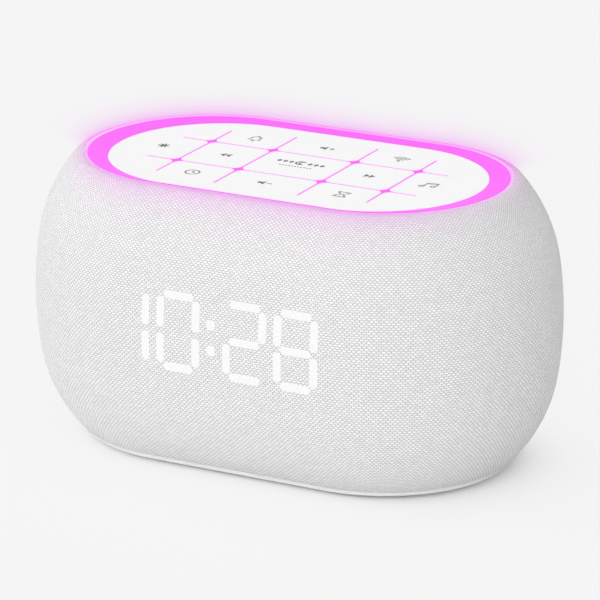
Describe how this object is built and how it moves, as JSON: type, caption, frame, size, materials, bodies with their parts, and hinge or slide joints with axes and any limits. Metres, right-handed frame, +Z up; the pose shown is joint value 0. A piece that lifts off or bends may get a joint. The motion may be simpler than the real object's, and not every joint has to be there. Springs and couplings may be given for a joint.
{
  "type": "white noise machine",
  "caption": "Oblong cloth-covered bedside sound machine with a lit ring round a flat key deck, and a clock that glows through the cloth on the front.",
  "frame": {"origin": "under the middle of the body, on the plane the feet stand on", "axes": "+X along the body's length, to the right seen from the front; -Y is the front with the clock; +Z up"},
  "size_m": [0.155, 0.1, 0.0821],
  "materials": {
    "cloth": "woven",
    "white_shell": "fine satin",
    "deck_white": "satin",
    "inner_white": "matte",
    "inner_grey": "matte",
    "lit_ring": "translucent, lit",
    "clear_guide": "clear, lit",
    "foot_rubber": "matte",
    "screw_steel": "plated",
    "board_green": "satin",
    "board_parts": "matte",
    "stem_plastic": "matte",
    "led_lens": "lens",
    "mask_black": "matte",
    "diffuser": "translucent, lit",
    "socket_metal": "polished",
    "basket_metal": "black",
    "magnet_steel": "plated",
    "ferrite": "matte",
    "coil_copper": "wound",
    "cone_paper": "fibrous",
    "surround_rubber": "matte",
    "spider_cloth": "impregnated",
    "cell_metal": "polished",
    "ribbon": "smooth",
    "lead_red": "smooth"
  },
  "bodies": {
    "housing": {"backup_cell": "cell_metal", "base_plate": "white_shell", "base_screws": "screw_steel", "cabinet_shell": "inner_grey", "display_board": "board_green", "display_diffusers": "diffuser", "display_leds": "led_lens", "display_mask": "mask_black", "display_ribbon": "ribbon", "fabric_sleeve": "cloth", "guide_frame": "inner_white", "inner_screws": "screw_steel", "key_board": "board_green", "key_deck": "deck_white", "key_ribbon": "ribbon", "light_guide": "clear_guide", "light_ring": "lit_ring", "magnet_ring": "ferrite", "main_board": "board_green", "main_board_parts": "board_parts", "pole_yoke": "magnet_steel", "port_bezel": "white_shell", "port_board": "board_green", "power_leads": "lead_red", "ring_leds": "led_lens", "rubber_feet": "foot_rubber", "speaker_basket": "basket_metal", "speaker_leads": "lead_red", "spider": "spider_cloth", "surround": "surround_rubber", "tact_switches": "board_parts", "top_plate": "magnet_steel", "top_tray": "inner_white", "usb_socket": "socket_metal"},
    "cone_group": {"speaker_cone": "cone_paper", "dust_cap": "cone_paper", "voice_coil": "coil_copper"},
    "back_key": {"key_back": "deck_white", "stem_back": "stem_plastic"},
    "snooze_key": {"key_snooze": "deck_white", "stem_snooze": "stem_plastic"},
    "next_key": {"key_next": "deck_white", "stem_next": "stem_plastic"},
    "light_key": {"key_light": "deck_white", "stem_light": "stem_plastic"},
    "sounds_key": {"key_sounds": "deck_white", "stem_sounds": "stem_plastic"},
    "alarm_key": {"key_alarm": "deck_white", "stem_alarm": "stem_plastic"},
    "wireless_key": {"key_wireless": "deck_white", "stem_wireless": "stem_plastic"},
    "clock_key": {"key_clock": "deck_white", "stem_clock": "stem_plastic"},
    "timer_key": {"key_timer": "deck_white", "stem_timer": "stem_plastic"},
    "volume_up_key": {"key_volume_up": "deck_white", "stem_volume_up": "stem_plastic"},
    "volume_down_key": {"key_volume_down": "deck_white", "stem_volume_down": "stem_plastic"}
  },
  "joints": [
    {"name": "back_press", "type": "slide", "parent": "housing", "child": "back_key", "axis": [0, 0, -1], "range_m": [0, 0.00025], "stiffness_N_per_m": 2000, "springref_m": -0.0003},
    {"name": "snooze_press", "type": "slide", "parent": "housing", "child": "snooze_key", "axis": [0, 0, -1], "range_m": [0, 0.00025], "stiffness_N_per_m": 2000, "springref_m": -0.0003},
    {"name": "next_press", "type": "slide", "parent": "housing", "child": "next_key", "axis": [0, 0, -1], "range_m": [0, 0.00025], "stiffness_N_per_m": 2000, "springref_m": -0.0003},
    {"name": "light_press", "type": "hinge", "parent": "housing", "child": "light_key", "pos_m": [-0.0421, 0, 0.0796], "axis": [0, 1, 0], "range_deg": [0, 2.37], "stiffness_Nm_per_rad": 0.2, "springref_deg": -1.72},
    {"name": "sounds_press", "type": "hinge", "parent": "housing", "child": "sounds_key", "pos_m": [0.0421, 0, 0.0796], "axis": [0, -1, 0], "range_deg": [0, 2.37], "stiffness_Nm_per_rad": 0.2, "springref_deg": -1.72},
    {"name": "alarm_press", "type": "hinge", "parent": "housing", "child": "alarm_key", "pos_m": [-0.02278, 0.0237, 0.0796], "axis": [0.9902, 0.1396, 0], "range_deg": [0, 1.47], "stiffness_Nm_per_rad": 0.2, "springref_deg": -1.72},
    {"name": "wireless_press", "type": "hinge", "parent": "housing", "child": "wireless_key", "pos_m": [0.02278, 0.0237, 0.0796], "axis": [0.9902, -0.1396, 0], "range_deg": [0, 1.47], "stiffness_Nm_per_rad": 0.2, "springref_deg": -1.72},
    {"name": "clock_press", "type": "hinge", "parent": "housing", "child": "clock_key", "pos_m": [-0.02278, -0.0237, 0.0796], "axis": [-0.9902, 0.1396, 0], "range_deg": [0, 1.47], "stiffness_Nm_per_rad": 0.2, "springref_deg": -1.72},
    {"name": "timer_press", "type": "hinge", "parent": "housing", "child": "timer_key", "pos_m": [0.02278, -0.0237, 0.0796], "axis": [-0.9902, -0.1396, 0], "range_deg": [0, 1.47], "stiffness_Nm_per_rad": 0.2, "springref_deg": -1.72},
    {"name": "volume_up_press", "type": "hinge", "parent": "housing", "child": "volume_up_key", "pos_m": [0, 0.02505, 0.0796], "axis": [1, 0, 0], "range_deg": [0, 1.28], "stiffness_Nm_per_rad": 0.2, "springref_deg": -1.72},
    {"name": "volume_down_press", "type": "hinge", "parent": "housing", "child": "volume_down_key", "pos_m": [0, -0.02505, 0.0796], "axis": [-1, 0, 0], "range_deg": [0, 1.28], "stiffness_Nm_per_rad": 0.2, "springref_deg": -1.72},
    {"name": "cone_travel", "type": "slide", "parent": "housing", "child": "cone_group", "axis": [0, 1, 0], "range_m": [-0.001, 0.001], "stiffness_N_per_m": 1000, "deforming": ["surround", "spider"]}
  ]
}
